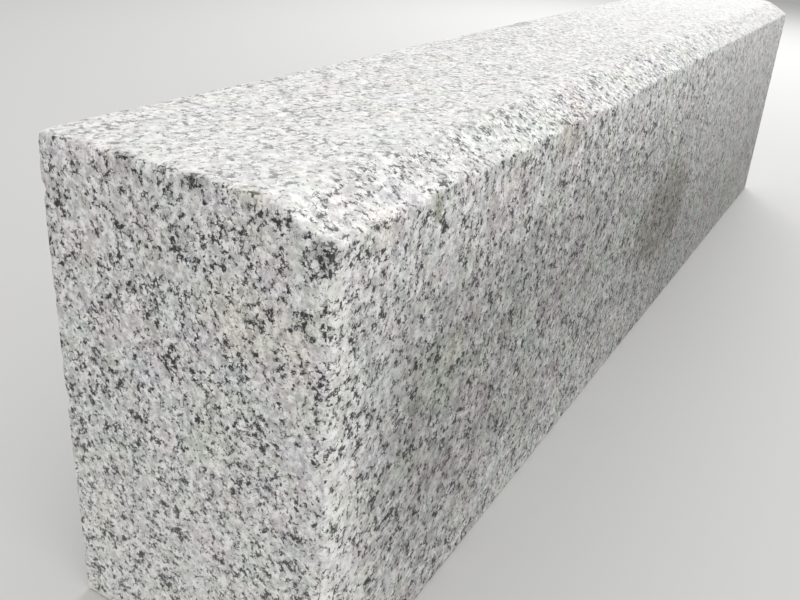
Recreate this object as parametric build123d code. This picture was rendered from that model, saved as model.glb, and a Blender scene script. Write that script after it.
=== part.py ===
from build123d import *
import os

# A granite kerb stone: one sawn block, with a worked chamfer along the top of its front face.
# X runs along the kerb, Y from the front (road) face to the back, and Z up from the bed.
# The origin is at the centre of the bed, the sawn face that lies on the mortar.
# All lengths are in millimetres.

# the block, face to face
LENGTH = 1000.0
WIDTH = 150.0
HEIGHT = 250.0

# the front chamfer: how far it runs in across the top and down the front face,
# and the radius that eases its upper edge into the top
CHAMFER_INSET = 26.0
CHAMFER_DROP = 13.0
CHAMFER_BLEND = 20.0

# the small radius rubbed on every other arris, so that it does not spall in handling
ARRIS = 2.0


def section():
    """The end outline in the YZ plane, front at -Y: a rectangle that loses its top front corner."""
    front = -WIDTH / 2
    back = WIDTH / 2
    chamfer_foot = (front, HEIGHT - CHAMFER_DROP)
    chamfer_head = (front + CHAMFER_INSET, HEIGHT)
    outline = make_face(
        Polyline((front, 0), (back, 0), (back, HEIGHT), chamfer_head, chamfer_foot, close=True)
    )
    head_corner = outline.vertices().sort_by_distance((*chamfer_head, 0)).first
    return fillet(head_corner, CHAMFER_BLEND)


def arrises(block):
    """Every edge that is still sharp: both end outlines, and each long edge that the blend has not eased."""
    end_outlines = block.faces().filter_by(Axis.X).edges()
    eased = block.faces().filter_by(GeomType.CYLINDER).edges()
    long_edges = block.edges().filter_by(Axis.X)
    return end_outlines + [edge for edge in long_edges if edge not in eased]


def kerb_stone():
    """The section run along X, half to each side of the origin, with its arrises rubbed."""
    block = extrude(Plane.YZ * section(), LENGTH / 2, both=True)
    return fillet(arrises(block), ARRIS)


os.makedirs("parts", exist_ok=True)
stone = kerb_stone()
stone.label = "kerb_stone"
export_step(stone, "parts/kerb_stone.step")
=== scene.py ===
from math import radians, tan

import bmesh
import bpy
from mathutils import Matrix, Vector, noise


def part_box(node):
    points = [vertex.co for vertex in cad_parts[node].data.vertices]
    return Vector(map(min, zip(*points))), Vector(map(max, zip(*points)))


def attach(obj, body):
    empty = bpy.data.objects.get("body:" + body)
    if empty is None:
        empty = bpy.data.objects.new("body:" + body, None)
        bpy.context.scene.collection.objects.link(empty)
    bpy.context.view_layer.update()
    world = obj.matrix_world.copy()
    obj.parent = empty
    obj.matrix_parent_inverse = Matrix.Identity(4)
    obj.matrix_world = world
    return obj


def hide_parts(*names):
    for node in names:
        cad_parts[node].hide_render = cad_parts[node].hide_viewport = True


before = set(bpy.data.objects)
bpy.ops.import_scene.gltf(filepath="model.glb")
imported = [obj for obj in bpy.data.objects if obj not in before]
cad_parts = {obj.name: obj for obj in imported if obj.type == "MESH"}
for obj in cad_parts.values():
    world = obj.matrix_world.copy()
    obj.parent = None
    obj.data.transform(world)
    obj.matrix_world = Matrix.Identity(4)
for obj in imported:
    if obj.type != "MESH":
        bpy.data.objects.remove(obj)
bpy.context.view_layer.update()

# The kerb is one block of granite, sawn square, with a shallow chamfer worked along the top of its
# front face and eased into the top. Its arrises are only rubbed, so they stay crisp but uneven.
MM = 0.001
low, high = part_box("kerb_stone")
CHAMFER_INSET = 26 * MM
CHAMFER_DROP = 13 * MM
CHAMFER_BLEND = 20 * MM
BLEND_SEGMENTS = 4
ARRIS = 1.6 * MM
ARRIS_SEGMENTS = 3
# faces that turn by more than this meet in an arris, and points closer than a hair are one
ARRIS_TURN = radians(20)
HAIR = 0.05 * MM
ALONG, BACK, UP = Vector((1, 0, 0)), Vector((0, 1, 0)), Vector((0, 0, 1))
chamfer_foot = Vector((0, low.y, high.z - CHAMFER_DROP))
chamfer_head = Vector((0, low.y + CHAMFER_INSET, high.z))
chamfer_out = Vector((0, -CHAMFER_DROP, CHAMFER_INSET)).normalized()

block = bmesh.new()
bmesh.ops.create_cube(block, size=1.0)
bmesh.ops.scale(block, vec=high - low, verts=block.verts)
bmesh.ops.translate(block, vec=(low + high) / 2, verts=block.verts)


def saw(place, towards, **waste):
    """Cuts the whole block by a plane, and gives the edges of the cut."""
    everything = [*block.verts, *block.edges, *block.faces]
    cut = bmesh.ops.bisect_plane(block, geom=everything, plane_co=place, plane_no=towards, **waste)
    return [part for part in cut["geom_cut"] if isinstance(part, bmesh.types.BMEdge)]


def ease(edges, width, segments):
    """Rounds edges of the block, taking the same width off both faces."""
    bmesh.ops.bevel(
        block, geom=edges, offset=width, offset_type="OFFSET",
        segments=segments, profile=0.5, affect="EDGES", material=-1,
    )


bmesh.ops.contextual_create(block, geom=saw(chamfer_foot, chamfer_out, clear_outer=True))
head = [
    edge for edge in block.edges
    if all((vert.co - chamfer_head).cross(ALONG).length < HAIR for vert in edge.verts)
]
ease(head, CHAMFER_BLEND * tan(chamfer_out.angle(UP) / 2), BLEND_SEGMENTS)
arrises = [edge for edge in block.edges if edge.calc_face_angle() > ARRIS_TURN]
ease(arrises, ARRIS, ARRIS_SEGMENTS)


# The faces are ruled into rows and then into rungs, close together at the arrises, where the stone
# is chipped, and wider between them.
def graded(length, first, growth, widest):
    """Distances from an arris, each gap a little wider than the last, that end exactly at the length."""
    places, gap = [first], first
    while places[-1] < length:
        gap = min(gap * growth, widest)
        places.append(places[-1] + gap)
    return [place * length / places[-1] for place in places]


ROW_START = 2.4 * MM
ROW_GROWTH = 1.25
ROW_WIDEST = 4.6 * MM
# shares of the way up the chamfer
CHAMFER_ROWS = (0.10, 0.18, 0.28, 0.40, 0.54, 0.68, 0.80)
up_front = graded((chamfer_foot.z - low.z) / 2, ROW_START, ROW_GROWTH, ROW_WIDEST)
across_top = graded(high.y - chamfer_head.y, ROW_START, ROW_GROWTH, ROW_WIDEST)
for row in [*(low.z + gap for gap in up_front), *(chamfer_foot.z - gap for gap in up_front[:-1])]:
    saw((0, 0, row), UP)
for row in (high.y - gap for gap in across_top):
    saw((0, row, 0), BACK)
for share in CHAMFER_ROWS:
    row = chamfer_foot.lerp(chamfer_head, share)
    saw(row, UP)
    saw(row, BACK)

RUNG_NEAR = 1.1 * MM
RUNG_FAR = 1.9 * MM
RUNG_GROWTH = 1.008
RUNG_WIDEST = 4.0 * MM
first_rung, last_rung = low.x + ARRIS, high.x - ARRIS
half_run = (last_rung - first_rung) / 2
near_rungs = graded(half_run, RUNG_NEAR, RUNG_GROWTH, RUNG_WIDEST)
far_rungs = graded(half_run, RUNG_FAR, RUNG_GROWTH, RUNG_WIDEST)
ladder = [first_rung + gap for gap in near_rungs] + [last_rung - gap for gap in far_rungs[-2::-1]]
rails = [edge for edge in block.edges if abs(edge.verts[0].co.x - edge.verts[1].co.x) > half_run]
ruled = bmesh.ops.subdivide_edges(block, edges=rails, cuts=len(ladder))
even_gap = 2 * half_run / (len(ladder) + 1)
for part in ruled["geom_inner"]:
    if isinstance(part, bmesh.types.BMVert):
        part.co.x = ladder[round((part.co.x - first_rung) / even_gap) - 1]
bmesh.ops.remove_doubles(block, verts=block.verts, dist=HAIR)

# The relief of the stone is worked into the mesh: the tooled top, chamfer and front are slightly
# hollowed all over, the arrises wander and are chipped, and the upright corners are rubbed rounder.
TOOLED_DEPTH, TOOLED_GRAIN = 0.40 * MM, 8 * MM
SWELL_DEPTH, SWELL_LENGTH = 0.5 * MM, 35 * MM
WANDER_DEPTH, WANDER_LENGTH, WANDER_REACH = 0.4 * MM, 25 * MM, 5 * MM
CHIP_DEPTH, CHIP_LENGTH, CHIP_REACH, CHIP_LEVEL = 3.2 * MM, 5 * MM, 4.5 * MM, 0.15
RUBBED_DEPTH, RUBBED_REACH = 0.8 * MM, 7 * MM
WORN_CORNER = Vector((low.x, high.y, high.z))
WORN_DEPTH, WORN_REACH = 1.4 * MM, 9 * MM
CORE = 8 * MM
# the foot of the chamfer rises above or falls below its mean line: middle, reach and height of each drift
FOOT_REACH = 16 * MM
FOOT_RIPPLE, FOOT_RIPPLE_LENGTH = 1.2 * MM, 40 * MM
FOOT_DRIFTS = (
    (-405 * MM, 30 * MM, 2.6 * MM),
    (-175 * MM, 70 * MM, -2.4 * MM),
)


def fade(distance, reach):
    """1 at nothing, falling smoothly to 0 at the reach."""
    left = min(1.0, max(0.0, 1 - distance / reach))
    return left * left * (3 - 2 * left)


def ripple(point, length):
    """A smooth swell between 0 and 1 with humps about as long as the length given."""
    return 0.5 + 0.5 * noise.noise(point / length)


def arris_distance(point):
    """How far a point is from the nearest arris, which is its depth behind the second nearest face."""
    over_top = min(high.z - point.z, (chamfer_foot - point).dot(chamfer_out))
    depths = sorted((
        point.x - low.x, high.x - point.x, point.y - low.y, high.y - point.y, point.z - low.z, over_top,
    ))
    return max(depths[1], 0.0)


def chipped(point, from_arris):
    """How deeply the arris is chipped at a point: 0 where it is whole."""
    return max(0.0, noise.noise(point / CHIP_LENGTH) - CHIP_LEVEL) * fade(from_arris, CHIP_REACH)


def core_of(point):
    """The nearest point of the block's core, which wear pushes the surface towards."""
    return Vector(min(max(at, start + CORE), end - CORE) for at, start, end in zip(point, low, high))


def wear(point, from_arris, chip):
    """How wear has moved the surface at a point."""
    upright = Vector((min(point.x - low.x, high.x - point.x), point.y - low.y)).length
    depth = WANDER_DEPTH * fade(from_arris, WANDER_REACH) * ripple(point, WANDER_LENGTH)
    depth += CHIP_DEPTH * chip + RUBBED_DEPTH * fade(upright, RUBBED_REACH)
    depth += WORN_DEPTH * fade((point - WORN_CORNER).length, WORN_REACH)
    return (core_of(point) - point).normalized() * depth


def foot_lift(point):
    """How far the foot of the chamfer strays from its mean line near a point."""
    from_foot = (Vector((0, point.y, point.z)) - chamfer_foot).length
    drift = sum(height * fade(abs(point.x - middle), reach) for middle, reach, height in FOOT_DRIFTS)
    drift += FOOT_RIPPLE * (ripple(Vector((point.x, 0, 0)), FOOT_RIPPLE_LENGTH) - 0.5)
    return Vector((0, 0, drift * fade(from_foot, FOOT_REACH)))


def worked_side(normal):
    """How squarely a face looks up or to the front, where the stone is worked."""
    return max(normal.z, -normal.y, 0.0)


def hollow(point, normal):
    """How far the tool has sunk the surface at a point: small dents on a longer swell."""
    depth = TOOLED_DEPTH * ripple(point, TOOLED_GRAIN) + SWELL_DEPTH * ripple(point, SWELL_LENGTH)
    return normal * depth * worked_side(normal)


# Rubbing and dust have left some places paler: the far upright arris, the foot of the front and of the
# near end, and every chip. A band on the front beside the near end, which widens downwards, is partly
# rubbed and partly painted light, and the lower part of the near end is paler as painted bounce light.
BAND_TOP, BAND_WIDENING, BAND_STRENGTH = 5 * MM, 0.16, 0.72
FAR_ARRIS_REACH = 5 * MM
FOOT_PALING, FOOT_PALING_REACH = 0.5, 12 * MM
PAINTED_BOUNCE_STRENGTH, PAINTED_BOUNCE_REACH = 0.6, 160 * MM
CHIP_PALING = 2


def paling(point, normal, chip):
    """How pale the surface is at a point, from 0 to 1, through wear, dust and painted light."""
    band_width = BAND_TOP + BAND_WIDENING * (high.z - point.z)
    beside_end = fade(point.x - low.x - band_width / 2, band_width)
    far_arris = Vector((high.x - point.x, point.y - low.y)).length
    front_foot = Vector((point.y - low.y, point.z - low.z)).length
    end_foot = Vector((point.x - low.x, point.z - low.z)).length
    wear_dust_and_painted_light = max(
        # the band beside the near end: partly rubbed, partly painted light
        BAND_STRENGTH * beside_end * max(-normal.y, 0.0),
        fade(far_arris, FAR_ARRIS_REACH),
        FOOT_PALING * fade(min(front_foot, end_foot), FOOT_PALING_REACH),
        # painted bounce light on the lower part of the near end
        PAINTED_BOUNCE_STRENGTH * fade(point.z - low.z, PAINTED_BOUNCE_REACH) * max(-normal.x, 0.0),
    )
    return min(1.0, wear_dust_and_painted_light + CHIP_PALING * chip)


block.normal_update()
pale = []
for vert in block.verts:
    from_arris = arris_distance(vert.co)
    chip = chipped(vert.co, from_arris)
    pale.append(paling(vert.co, vert.normal, chip))
    vert.co += foot_lift(vert.co) + wear(vert.co, from_arris, chip) - hollow(vert.co, vert.normal)

# the slots of the two finishes, and how squarely a worked face looks up or to the front
SAWN, WORKED = 0, 1
WORKED_FROM = 0.5
block.normal_update()
for face in block.faces:
    face.smooth = True
    face.material_index = WORKED if worked_side(face.normal) > WORKED_FROM else SAWN

kerb_mesh = bpy.data.meshes.new("kerb")
block.to_mesh(kerb_mesh)
block.free()
paleness = kerb_mesh.attributes.new("pale", "FLOAT", "POINT")
paleness.data.foreach_set("value", pale)
kerb = bpy.data.objects.new("kerb", kerb_mesh)
bpy.context.collection.objects.link(kerb)

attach(kerb, "root")
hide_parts("kerb_stone")


# The stone is a light grey, medium-grained granite: interlocked white feldspar and smoky quartz,
# with black mica in ragged clusters. The grain runs through the block, the same in every direction.
def add(tree, kind, sockets=None, **settings):
    """A node of one kind with its settings, and a value or a link in each of the sockets given."""
    made = tree.nodes.new(kind)
    for name, value in settings.items():
        setattr(made, name, value)
    for socket, value in (sockets or {}).items():
        if isinstance(value, bpy.types.NodeSocket):
            tree.links.new(value, made.inputs[socket])
        else:
            made.inputs[socket].default_value = value
    return made


def maths(tree, how, first, second):
    """Two numbers worked together."""
    return add(tree, "ShaderNodeMath", {0: first, 1: second}, operation=how).outputs[0]


def spread(tree, value, start, end, to_start=0.0, to_end=1.0):
    """A value carried smoothly from one range to another, and held at its ends."""
    return add(
        tree, "ShaderNodeMapRange",
        {"Value": value, "From Min": start, "From Max": end, "To Min": to_start, "To Max": to_end},
        interpolation_type="SMOOTHSTEP",
    ).outputs[0]


def laid_over(tree, factor, under, over, how="MIX"):
    """One colour laid over another."""
    return add(
        tree, "ShaderNodeMix", {0: factor, 6: under, 7: over}, data_type="RGBA", blend_type=how,
    ).outputs[2]


def cloud(tree, source, size, detail=1.0, roughness=0.5):
    """Noise with humps of about the size given."""
    return add(
        tree, "ShaderNodeTexNoise",
        {"Vector": source, "Scale": 1 / size, "Detail": detail, "Roughness": roughness},
    ).outputs


def grey(level):
    """A plain grey, faintly warm as the stone is."""
    return (level, level * 0.995, level * 0.975, 1.0)


grain = bpy.data.node_groups.new("granite grain", "ShaderNodeTree")
for name, way, kind in (
    ("Coarseness", "INPUT", "NodeSocketFloat"),
    ("Pale", "INPUT", "NodeSocketFloat"),
    ("Bleach and Glare", "INPUT", "NodeSocketFloat"),
    ("Stone", "OUTPUT", "NodeSocketColor"),
    ("Height", "OUTPUT", "NodeSocketFloat"),
):
    grain.interface.new_socket(name, in_out=way, socket_type=kind)
grain_in = add(grain, "NodeGroupInput").outputs
place = add(grain, "ShaderNodeTexCoord").outputs["Object"]
fineness = maths(grain, "DIVIDE", 1.0, grain_in["Coarseness"])
sized = add(grain, "ShaderNodeVectorMath", {0: place, "Scale": fineness}, operation="SCALE").outputs[0]
# the crystals' outlines are ragged, because a finer pattern pushes the coarser ones about
RAGGED_SIZE, RAGGED_REACH = 1.3 * MM, 1.5 * MM
ragged = cloud(grain, sized, RAGGED_SIZE)["Color"]
torn = add(
    grain, "ShaderNodeVectorMath", {0: ragged, 1: (RAGGED_REACH,) * 3, 2: sized}, operation="MULTIPLY_ADD",
).outputs[0]

# feldspar: crystals of slightly different paleness, with an uneven grey speckle between them
CRYSTAL_SIZE, DULL_FELDSPAR, WHITE_FELDSPAR = 5.5 * MM, grey(0.77), grey(0.92)
SPECKLE_SIZE, SPECKLE_RANGE, SPECKLE_GREY = 3.4 * MM, (0.33, 0.62), grey(0.44)
crystals = add(grain, "ShaderNodeTexVoronoi", {"Vector": torn, "Scale": 1 / CRYSTAL_SIZE}).outputs
crystal_pick = add(grain, "ShaderNodeSeparateColor", {"Color": crystals["Color"]}).outputs["Red"]
feldspar = laid_over(grain, crystal_pick, DULL_FELDSPAR, WHITE_FELDSPAR)
speckle = cloud(grain, torn, SPECKLE_SIZE, detail=4.0, roughness=0.70)["Fac"]
stone = laid_over(grain, spread(grain, speckle, *SPECKLE_RANGE), SPECKLE_GREY, feldspar)

# quartz: smoky grey patches among the feldspar
QUARTZ_SIZE, QUARTZ_RANGE, QUARTZ_STRENGTH, QUARTZ_GREY = 6.5 * MM, (0.54, 0.66), 0.55, grey(0.47)
quartz = cloud(grain, torn, QUARTZ_SIZE, detail=2.0)["Fac"]
smoky = spread(grain, quartz, *QUARTZ_RANGE, 0.0, QUARTZ_STRENGTH)
stone = laid_over(grain, smoky, stone, QUARTZ_GREY)

# faint tints drift over several crystals at a time, and the pale places, worn, dusty and painted light, are
# patchy
TINT_SIZE, TINT_STRENGTH = 24 * MM, 0.24
PATCH_SIZE, PATCH_RANGE, PATCH_LEAST = 7 * MM, (0.35, 0.65), 0.5
RUBBED_AND_PAINTED_LIGHT_COLOUR = (0.55, 0.54, 0.44, 1.0)
tints = cloud(grain, place, TINT_SIZE, detail=2.0)["Color"]
stone = laid_over(grain, TINT_STRENGTH, stone, tints, "SOFT_LIGHT")
patches = cloud(grain, place, PATCH_SIZE, detail=2.0)["Fac"]
patchy = spread(grain, patches, *PATCH_RANGE, PATCH_LEAST, 1.0)
stone = laid_over(grain, maths(grain, "MULTIPLY", grain_in["Pale"], patchy), stone, RUBBED_AND_PAINTED_LIGHT_COLOUR, "SCREEN")

# mica: ragged flakes and thin curved chains of them, crowded in places, with fine flecks between
CROWDING_SIZE, CROWDING_STRENGTH = 9 * MM, 0.26
FLAKE_SIZE, FLAKE_RANGE = 2.8 * MM, (0.651, 0.785)
CHAIN_SIZE, CHAIN_WIDTH, CHAIN_STRENGTH = 5 * MM, 0.050, 0.10
FLECK_SIZE, FLECK_RANGE, FLECK_STRENGTH = 1.6 * MM, (0.71, 0.79), 0.7
crowding = cloud(grain, place, CROWDING_SIZE)["Fac"]
flake = cloud(grain, torn, FLAKE_SIZE, detail=4.0, roughness=0.72)["Fac"]
flake_level = maths(grain, "ADD", flake, maths(grain, "MULTIPLY", crowding, CROWDING_STRENGTH))
# a chain follows each line on which a wider pattern is just half
chain = maths(grain, "SUBTRACT", cloud(grain, torn, CHAIN_SIZE, detail=2.0)["Fac"], 0.5)
from_chain = add(grain, "ShaderNodeMath", {0: chain}, operation="ABSOLUTE").outputs[0]
on_chain = spread(grain, from_chain, 0.0, CHAIN_WIDTH, CHAIN_STRENGTH, 0.0)
flake_level = maths(grain, "ADD", flake_level, on_chain)
# where the mica stands close together at the near end: how far back, how high, the reach and how close
MICA_CROWDS = (
    (25, 249, 3, 0.11), (19, 246, 3, 0.10), (6, 248, 3, 0.09), (-10, 249, 4, 0.11), (-15, 246, 4, 0.10),
    (-66, 238, 5, 0.07), (-70, 235, 7, 0.08), (-74, 231, 7, 0.09),
)
for back, height, reach, closeness in MICA_CROWDS:
    middle = Vector((low.x, back * MM, height * MM))
    away = add(grain, "ShaderNodeVectorMath", {0: place, 1: middle}, operation="DISTANCE").outputs["Value"]
    flake_level = maths(grain, "ADD", flake_level, spread(grain, away, 0.0, reach * MM, closeness, 0.0))
flecks = spread(grain, cloud(grain, place, FLECK_SIZE)["Fac"], *FLECK_RANGE, 0.0, FLECK_STRENGTH)
mica = maths(grain, "MAXIMUM", spread(grain, flake_level, *FLAKE_RANGE), flecks)

# bleaching, and on the top and towards the far end also painted glare: the flakes go grey and lose their
# contrast with the stone round them
MICA_BLACK, BLEACHED_AND_GLARED_MICA, BLEACHED_AND_GLARED_STONE = (0.050, 0.050, 0.053, 1.0), grey(0.62), grey(0.72)
mica_colour = laid_over(grain, grain_in["Bleach and Glare"], MICA_BLACK, BLEACHED_AND_GLARED_MICA)
bleached_and_glared = laid_over(grain, grain_in["Bleach and Glare"], stone, BLEACHED_AND_GLARED_STONE)
stone = laid_over(grain, mica, bleached_and_glared, mica_colour)

# relief: the speckle's small pits on a slightly wider swell
RELIEF_SIZE = 5 * MM
relief_height = maths(grain, "ADD", speckle, cloud(grain, place, RELIEF_SIZE)["Fac"])
add(grain, "NodeGroupOutput", {"Stone": stone, "Height": relief_height})

# Over the front lies a darkening, partly a thin grey film and partly painted shade. Rain, dust and
# handling have left a rusty patch under the arris and some faint pink and warm places. There is one large
# brownish oval on the front, darker on its right, and there are painted shadows in chips along the near
# end's top arris.
stains_and_shade = bpy.data.node_groups.new("stains and painted shade", "ShaderNodeTree")
for name, way in (("Stone", "INPUT"), ("Stained and Shaded", "OUTPUT")):
    stains_and_shade.interface.new_socket(name, in_out=way, socket_type="NodeSocketColor")
stained_and_shaded = add(stains_and_shade, "NodeGroupInput").outputs["Stone"]
on_stone = add(stains_and_shade, "ShaderNodeTexCoord").outputs["Object"]
along = add(stains_and_shade, "ShaderNodeSeparateXYZ", {"Vector": on_stone}).outputs

# the darkening, partly film and partly painted shade, is mottled. There is none under the chamfer or beside
# the near end, and more and more below, except low down, where it is thinner on the near half, and on the
# far half thicker with painted shade
MOTTLE_SIZE, MOTTLE_RANGE, MOTTLE_STRENGTH = 16 * MM, (0.38, 0.62), 0.17
FILM_AND_SHADE_STRENGTH, FILM_AND_SHADE_TOP = 0.72, (150 * MM, 246 * MM)
FILM_AND_SHADE_AT_FOOT, FILM_AND_SHADE_FOOT = 0.6, (10 * MM, 80 * MM)
FILM_AND_SHADE_NEAR_EDGE = (-502 * MM, -425 * MM)
FILM_AND_SHADE_AT_FAR_END, FILM_AND_SHADE_THINNING = 0.62, (-250 * MM, 150 * MM)
FAR_FOOT_SHADE_STRENGTH, FAR_FOOT_SHADE_TOP, FAR_FOOT_SHADE_EDGE = 0.55, (10 * MM, 180 * MM), (-200 * MM, 100 * MM)
FRONT_SKIN = (-73.5 * MM, -72.5 * MM)
HUE_SIZE, HUE_RANGE = 30 * MM, (0.35, 0.65)
GREENISH_FILM_AND_SHADE, PINKISH_FILM_AND_SHADE = (0.44, 0.46, 0.43, 1.0), (0.465, 0.445, 0.445, 1.0)
mottle = cloud(stains_and_shade, on_stone, MOTTLE_SIZE, detail=4.0, roughness=0.65)["Fac"]
film_and_shade = spread(stains_and_shade, mottle, *MOTTLE_RANGE, MOTTLE_STRENGTH, -MOTTLE_STRENGTH)
# painted shade, partly film: the front darker and darker downwards
film_and_shade = maths(stains_and_shade, "ADD", film_and_shade, spread(stains_and_shade, along["Z"], *FILM_AND_SHADE_TOP, FILM_AND_SHADE_STRENGTH, 0.0))
for share in (
    spread(stains_and_shade, along["Z"], *FILM_AND_SHADE_FOOT, FILM_AND_SHADE_AT_FOOT, 1.0),
    spread(stains_and_shade, along["X"], *FILM_AND_SHADE_NEAR_EDGE),
    spread(stains_and_shade, along["X"], *FILM_AND_SHADE_THINNING, 1.0, FILM_AND_SHADE_AT_FAR_END),
):
    film_and_shade = maths(stains_and_shade, "MULTIPLY", film_and_shade, share)
# painted shade: the front darker low down on its far half
low_painted_shade = spread(stains_and_shade, along["Z"], *FAR_FOOT_SHADE_TOP, FAR_FOOT_SHADE_STRENGTH, 0.0)
far_painted_shade = spread(stains_and_shade, along["X"], *FAR_FOOT_SHADE_EDGE)
film_and_shade = maths(stains_and_shade, "ADD", film_and_shade, maths(stains_and_shade, "MULTIPLY", low_painted_shade, far_painted_shade))
film_and_shade = maths(stains_and_shade, "MULTIPLY", film_and_shade, spread(stains_and_shade, along["Y"], *FRONT_SKIN, 1.0, 0.0))
film_hue = spread(stains_and_shade, cloud(stains_and_shade, on_stone, HUE_SIZE)["Fac"], *HUE_RANGE)
film_and_shade_tint = laid_over(stains_and_shade, film_hue, GREENISH_FILM_AND_SHADE, PINKISH_FILM_AND_SHADE)
stained_and_shaded = laid_over(stains_and_shade, film_and_shade, stained_and_shaded, film_and_shade_tint, "MULTIPLY")

# each mark's middle and reach in millimetres, its tint and how strong it is
MARKS = {
    "brownish oval": ((5, -75, 105), (78, 20, 46), (0.55, 0.54, 0.48), 0.66),
    "darker right side of the oval": ((54, -75, 102), (24, 20, 36), (0.46, 0.42, 0.36), 0.22),
    "rusty patch": ((-267, -75, 229), (20, 12, 11), (0.62, 0.56, 0.43), 0.42),
    "olive spot": ((-423, -75, 230), (4, 4, 7), (0.42, 0.42, 0.28), 0.56),
    "pale pink place under the chamfer": ((-466, -75, 236), (14, 8, 9), (1.18, 1.06, 1.00), 0.25),
    "pink place on the front": ((-348, -75, 216), (22, 12, 14), (0.98, 0.92, 0.93), 0.6),
    "warm place on the chamfer": ((-231, -67, 241), (14, 10, 10), (0.96, 0.88, 0.78), 0.2),
    "grey lozenge at the back of the top": ((-30, 70, 250), (20, 6, 4), (0.60, 0.61, 0.61), 0.75),
    "pink place on the near end": ((-500, 26, 243), (6, 12, 9), (0.94, 0.84, 0.82), 0.1),
    "yellowish place on the end's arris": ((-500, -36, 248), (5, 9, 5), (0.84, 0.82, 0.66), 0.4),
    "warm place on the near end": ((-500, -36, 196), (6, 26, 18), (1.00, 0.98, 0.90), 0.6),
    # painted shadows in chips: the next three darken the near end's top arris
    "painted shadow in the chip at the chamfer's corner": ((-500, -72, 235), (7, 7, 7), (0.40, 0.40, 0.40), 0.45),
    "painted shadow in a chip halfway along the arris": ((-500, -12, 248), (4, 7, 4), (0.42, 0.42, 0.41), 0.5),
    "painted shadow in a chip towards the back": ((-500, 25, 249), (4, 5, 4), (0.42, 0.42, 0.41), 0.5),
    "greenish place on the front": ((-404, -75, 140), (26, 12, 20), (0.96, 0.99, 0.90), 0.6),
    "pinkish place low on the front": ((-420, -75, 84), (14, 12, 14), (1.00, 0.93, 0.95), 0.5),
}
# a mark fades out at about its reach, where noise added to the distance breaks up its edge
BREAK_SIZE, BREAK_STRENGTH, MARK_EDGE = 6 * MM, 1.4, (1.40, 2.00)
edge_break = cloud(stains_and_shade, on_stone, BREAK_SIZE, detail=4.0, roughness=0.7)["Fac"]
for middle, reach, tint, strength in MARKS.values():
    laid = add(
        stains_and_shade, "ShaderNodeMapping",
        {"Vector": on_stone, "Location": Vector(middle) * MM, "Scale": Vector(reach) * MM},
        vector_type="TEXTURE",
    ).outputs[0]
    out_from = add(stains_and_shade, "ShaderNodeVectorMath", {0: laid}, operation="LENGTH").outputs["Value"]
    broken = maths(stains_and_shade, "ADD", out_from, maths(stains_and_shade, "MULTIPLY", edge_break, BREAK_STRENGTH))
    cover = spread(stains_and_shade, broken, *MARK_EDGE, strength, 0.0)
    stained_and_shaded = laid_over(stains_and_shade, cover, stained_and_shaded, (*tint, 1.0), "MULTIPLY")
add(stains_and_shade, "NodeGroupOutput", {"Stained and Shaded": stained_and_shaded})

# Both ends, the back and the bed are as the saw left them. The top, the chamfer and the front were
# worked afterwards, which breaks out whole crystals, so that the grain looks coarser there.
ROUGHNESS, GLOSS = 0.85, 0.25
# the Z of a face's normal where the front turns into the chamfer, and where the chamfer turns into the top
CHAMFER_TILT, TOP_TILT = (0.6, 0.8), (0.92, 0.985)
# where painted glare dulls the flakes towards the far end, and where dust dulls them low down
FAR_GLARE_RANGE, LOW_DUST_RANGE = (-100 * MM, 400 * MM), (40 * MM, 180 * MM)


def granite(
    name, coarseness, relief,
    front_bleach=0.0, chamfer_bleach=0.0, top_bleach_and_glare=0.0, far_glare=0.0, low_dust=0.0,
):
    """One finish of the granite: how coarse its grain looks, how deep its relief is, how much the flakes
    are bleached on each worked face, on the top partly as painted glare, how much painted glare dulls them
    towards the far end, and how much dust dulls them low down."""
    material = bpy.data.materials.new(name)
    material.use_nodes = True
    tree = material.node_tree
    tree.nodes.clear()
    facing = add(tree, "ShaderNodeNewGeometry").outputs["Normal"]
    upward = add(tree, "ShaderNodeSeparateXYZ", {"Vector": facing}).outputs["Z"]
    on_chamfer = spread(tree, upward, *CHAMFER_TILT, front_bleach, chamfer_bleach)
    on_top = spread(tree, upward, *TOP_TILT, 0.0, top_bleach_and_glare - chamfer_bleach)
    on_block = add(tree, "ShaderNodeTexCoord").outputs["Object"]
    along = add(tree, "ShaderNodeSeparateXYZ", {"Vector": on_block}).outputs
    far_away = spread(tree, along["X"], *FAR_GLARE_RANGE, 0.0, far_glare)
    dust_and_glare = maths(tree, "ADD", far_away, spread(tree, along["Z"], *LOW_DUST_RANGE, low_dust, 0.0))
    bleach_and_glare = maths(tree, "ADD", maths(tree, "ADD", on_chamfer, on_top), dust_and_glare)
    rubbed_and_lit = add(tree, "ShaderNodeAttribute", attribute_name="pale").outputs["Fac"]
    grains = add(
        tree, "ShaderNodeGroup",
        {"Coarseness": coarseness, "Pale": rubbed_and_lit, "Bleach and Glare": bleach_and_glare},
        node_tree=grain,
    ).outputs
    marked = add(tree, "ShaderNodeGroup", {"Stone": grains["Stone"]}, node_tree=stains_and_shade).outputs
    bump = add(
        tree, "ShaderNodeBump", {"Height": grains["Height"], "Distance": relief, "Strength": 1.0},
    ).outputs
    surface = add(
        tree, "ShaderNodeBsdfPrincipled",
        {"Base Color": marked["Stained and Shaded"], "Roughness": ROUGHNESS, "Specular IOR Level": GLOSS,
         "Normal": bump["Normal"]},
    ).outputs
    add(tree, "ShaderNodeOutputMaterial", {"Surface": surface["BSDF"]})
    return material


sawn = granite("sawn granite", coarseness=1.0, relief=0.25 * MM, low_dust=0.09)
# on the top the flakes are dulled partly by bleaching and partly as painted glare, and towards the far end
# by painted glare
worked = granite(
    "worked granite", coarseness=1.12, relief=0.22 * MM,
    front_bleach=0.04, chamfer_bleach=0.16, top_bleach_and_glare=0.41, far_glare=0.30,
)
kerb_mesh.materials.append(sawn)
kerb_mesh.materials.append(worked)

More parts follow.
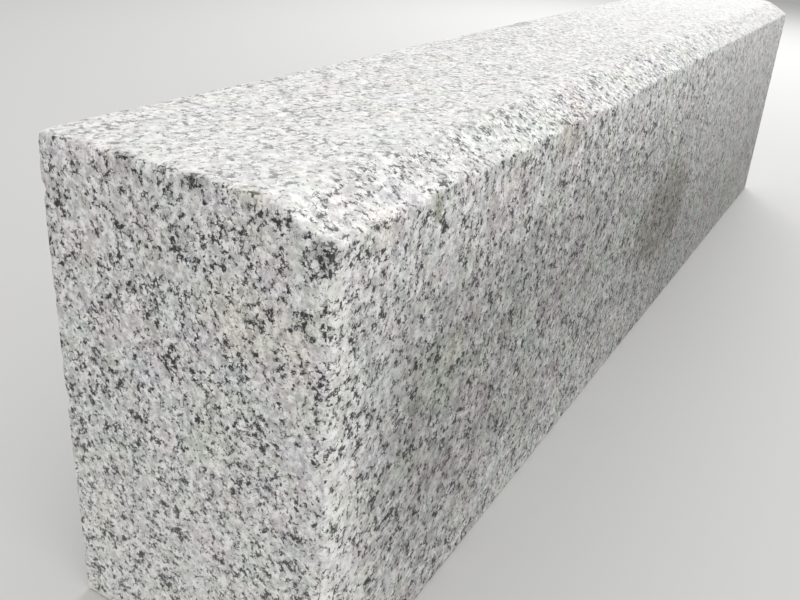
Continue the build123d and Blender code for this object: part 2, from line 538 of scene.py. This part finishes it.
# The floor is plain and pale, a little darker than the top of the stone so that its edge shows.
FLOOR_REACH = 12.0
FLOOR_COLOUR = grey(0.55)
FLOOR_ROUGHNESS = 0.95
floor_mesh = bpy.data.meshes.new("floor")
slab = bmesh.new()
bmesh.ops.create_grid(slab, x_segments=1, y_segments=1, size=FLOOR_REACH)
slab.to_mesh(floor_mesh)
slab.free()
floor = bpy.data.objects.new("floor", floor_mesh)
bpy.context.collection.objects.link(floor)
floor_paint = bpy.data.materials.new("pale floor")
floor_paint.use_nodes = True
floor_shader = floor_paint.node_tree.nodes["Principled BSDF"]
floor_shader.inputs["Base Color"].default_value = FLOOR_COLOUR
floor_shader.inputs["Roughness"].default_value = FLOOR_ROUGHNESS
floor_mesh.materials.append(floor_paint)

# A large soft light stands high in front of the near end, a smaller one hangs beyond the far end, and
# a dim even sky is all round.
SKY_COLOUR = (1.0, 1.0, 1.0, 1.0)
SKY_STRENGTH = 0.62
sky = bpy.data.worlds.new("sky")
sky.use_nodes = True
sky.node_tree.nodes["Background"].inputs["Color"].default_value = SKY_COLOUR
sky.node_tree.nodes["Background"].inputs["Strength"].default_value = SKY_STRENGTH
bpy.context.scene.world = sky


def soft_box(name, place, side, watts):
    """A square soft light, turned towards the middle of the bed."""
    light = bpy.data.lights.new(name, "AREA")
    light.shape = "SQUARE"
    light.size = side
    light.energy = watts
    lamp = bpy.data.objects.new(name, light)
    lamp.location = place
    lamp.rotation_mode = "QUATERNION"
    lamp.rotation_quaternion = (-lamp.location).to_track_quat("-Z", "Y")
    bpy.context.collection.objects.link(lamp)


soft_box("soft box", place=(-1.45, -1.55, 2.4), side=3.0, watts=51.0)
soft_box("far soft box", place=(2.0, 0.35, 1.65), side=1.8, watts=46.0)

# The camera stands close to the near end, a little above the top and outside the front face.
# Its place was worked out from the straight edges of the stone in the photograph.
CAMERA_PLACE = Vector((-0.72956, -0.23482, 0.35824))
CAMERA_AHEAD = Vector((0.82032, 0.39519, -0.4134)).normalized()
CAMERA_UP = Vector((0.32816, 0.26675, 0.90618))
view = bpy.data.cameras.new("camera")
view.sensor_width = 36.0
view.lens = 39.03
view.shift_x = -0.0739
view.shift_y = -0.0329
view.clip_start = 0.01
camera = bpy.data.objects.new("camera", view)
right = CAMERA_AHEAD.cross(CAMERA_UP).normalized()
turned = Matrix((right, right.cross(CAMERA_AHEAD), -CAMERA_AHEAD)).transposed().to_4x4()
camera.matrix_world = Matrix.Translation(CAMERA_PLACE) @ turned
bpy.context.collection.objects.link(camera)
bpy.context.scene.camera = camera
bpy.context.scene.view_settings.view_transform = "Standard"
